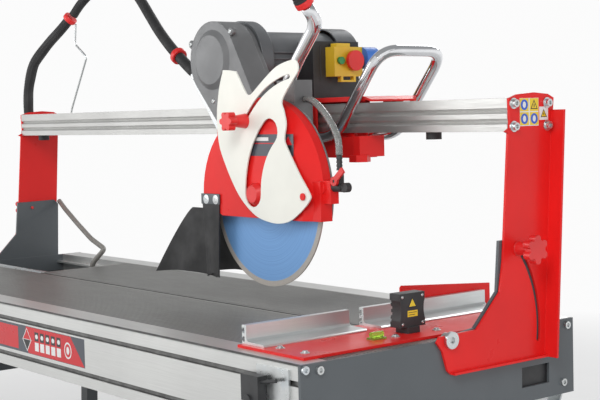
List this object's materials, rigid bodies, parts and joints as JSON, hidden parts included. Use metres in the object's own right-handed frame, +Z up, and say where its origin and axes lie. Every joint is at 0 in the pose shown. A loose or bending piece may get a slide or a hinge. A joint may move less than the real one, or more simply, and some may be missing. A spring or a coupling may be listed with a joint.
{
  "type": "wet tile saw",
  "caption": "Bridge wet tile saw: ribbed table on folding legs, tilting rail with a sliding motor head, plunging diamond blade, swinging front guard, fences and water tank.",
  "frame": {"origin": "on the floor, at the middle of the saw's footprint", "axes": "+X along the cut, towards the fences; +Y away from the operator; +Z up"},
  "size_m": [1.9766, 0.751, 1.5704],
  "materials": {
    "profile_aluminium": "bead-blasted anodised extrusion",
    "table_aluminium": "ribbed grey aluminium slab",
    "fence_aluminium": "clear anodised extrusion",
    "rail_aluminium": "anodised grooved extrusion",
    "red_paint": "satin powder coat",
    "dark_grey_paint": "textured powder coat",
    "zinc_steel": "bright zinc plate",
    "chrome": "polished chrome",
    "leg_paint": "satin powder coat",
    "black_plastic": "moulded, fine texture",
    "black_rubber": "soft rubber",
    "grey_hose": "soft pvc hose",
    "cast_aluminium": "painted die casting",
    "motor_paint": "satin grey paint on a finned casting",
    "cream_steel": "smooth cream paint",
    "blade_paint": "blue body with a bare diamond rim",
    "yellow_plastic": "moulded switch housing",
    "red_plastic": "moulded knob",
    "green_plastic": "moulded button",
    "blue_plastic": "moulded inlet",
    "level_vial": "tinted acrylic vial"
  },
  "bodies": {
    "chassis": {"front_profile": "profile_aluminium", "back_profile": "profile_aluminium", "end_plate_right": "dark_grey_paint", "end_plate_left": "dark_grey_paint", "table_front": "table_aluminium", "table_back": "table_aluminium", "trough_bar": "zinc_steel", "water_tank": "black_plastic", "drain_plug": "red_plastic", "pump": "black_plastic", "pump_hose": "grey_hose", "fence_base": "red_paint", "front_fence": "fence_aluminium", "back_fence": "fence_aluminium", "fence_bracket": "red_paint", "spirit_level": "level_vial", "laser_module": "black_plastic", "chassis_bolts": "zinc_steel", "pivot_pins": "zinc_steel", "leg_brackets": "zinc_steel", "leg_latches": "black_plastic"},
    "leg_pair_right": {"leg_right": "leg_paint", "feet": "black_rubber"},
    "leg_pair_left": {"leg_left": "leg_paint"},
    "wheel_pair": {"wheels": "black_rubber"},
    "bridge": {"column_right": "red_paint", "column_left": "red_paint", "rail": "rail_aluminium", "rail_bolts": "zinc_steel", "rail_bumpers": "black_rubber", "hose_hanger": "zinc_steel", "conduit_lower": "black_rubber"},
    "carriage": {"carriage_frame": "red_paint", "loop_handle": "chrome", "hose_arm": "zinc_steel", "conduit_arch": "black_rubber", "motor": "motor_paint", "fan_cover": "motor_paint", "terminal_box": "black_plastic", "switch_box": "yellow_plastic", "power_inlet": "blue_plastic"},
    "stop_push": {"stop_button": "red_plastic"},
    "start_push": {"start_button": "green_plastic"},
    "head": {"belt_cover": "cast_aluminium", "head_arm": "cast_aluminium", "drive_belt": "black_rubber", "blade_guard": "red_paint", "guard_back_plate": "cast_aluminium", "arbor_cap": "red_plastic", "splash_flaps": "black_rubber", "handle_tube": "chrome", "handle_grip": "black_rubber", "water_valve": "black_plastic"},
    "rotor": {"motor_pulley": "zinc_steel"},
    "blade": {"blade_spindle": "blade_paint"},
    "front_guard": {"guard_plate": "cream_steel"},
    "guard_clamp": {"guard_knob": "red_plastic"},
    "water_lever": {"valve_lever": "red_plastic"},
    "tilt_clamp_right": {"tilt_knob_right": "red_plastic"},
    "tilt_clamp_left": {"tilt_knob_left": "red_plastic"}
  },
  "joints": [
    {"name": "bridge_tilt", "type": "hinge", "parent": "chassis", "child": "bridge", "pos_m": [0, -0.0195, 0.79], "axis": [1, 0, 0], "range_deg": [0, 45], "deforming": ["pump_hose"]},
    {"name": "carriage_slide", "type": "slide", "parent": "bridge", "child": "carriage", "axis": [1, 0, 0], "range_m": [-0.89, 0.148], "deforming": ["conduit_arch"]},
    {"name": "head_plunge", "type": "hinge", "parent": "carriage", "child": "head", "pos_m": [0.216, 0.0405, 1.304], "axis": [0, 1, 0], "range_deg": [0, 22]},
    {"name": "blade_spin", "type": "hinge", "parent": "head", "child": "blade", "pos_m": [0.436, -0.0195, 1.015], "axis": [0, 1, 0], "continuous": true},
    {"name": "motor_spin", "type": "hinge", "parent": "head", "child": "rotor", "pos_m": [0.216, 0.0345, 1.304], "axis": [0, 1, 0], "continuous": true},
    {"name": "guard_swing", "type": "hinge", "parent": "head", "child": "front_guard", "pos_m": [0.591, -0.051, 1.027], "axis": [0, -1, 0], "range_deg": [0, 36]},
    {"name": "guard_knob_turn", "type": "hinge", "parent": "head", "child": "guard_clamp", "pos_m": [0.4107, -0.0695, 1.173], "axis": [0, 1, 0], "range_deg": [0, 360]},
    {"name": "tilt_knob_right_turn", "type": "hinge", "parent": "chassis", "child": "tilt_clamp_right", "pos_m": [0.96, 0.15769, 0.93349], "axis": [1, 0, 0], "range_deg": [0, 360]},
    {"name": "tilt_knob_left_turn", "type": "hinge", "parent": "chassis", "child": "tilt_clamp_left", "pos_m": [-0.96, 0.15769, 0.93349], "axis": [-1, 0, 0], "range_deg": [0, 360]},
    {"name": "water_valve_turn", "type": "hinge", "parent": "head", "child": "water_lever", "pos_m": [0.658, -0.0305, 1.057], "axis": [0, 1, 0], "range_deg": [0, 90]},
    {"name": "stop_press", "type": "slide", "parent": "carriage", "child": "stop_push", "axis": [-1, 0, 0], "range_m": [0, 0.004], "stiffness_N_per_m": 800, "springref_m": -0.001},
    {"name": "start_press", "type": "slide", "parent": "carriage", "child": "start_push", "axis": [-1, 0, 0], "range_m": [0, 0.003], "stiffness_N_per_m": 500, "springref_m": -0.001},
    {"name": "leg_fold_right", "type": "hinge", "parent": "chassis", "child": "leg_pair_right", "pos_m": [0.86, -0.0195, 0.59], "axis": [0, 1, 0], "range_deg": [0, 94]},
    {"name": "leg_fold_left", "type": "hinge", "parent": "chassis", "child": "leg_pair_left", "pos_m": [-0.86, -0.0195, 0.59], "axis": [0, -1, 0], "range_deg": [0, 94]},
    {"name": "wheel_spin", "type": "hinge", "parent": "leg_pair_left", "child": "wheel_pair", "pos_m": [-0.89706, -0.0195, 0.06], "axis": [0, 1, 0], "continuous": true}
  ],
  "couplings": [
    {"joint": "motor_spin", "follows": "blade_spin", "ratio": 1}
  ]
}
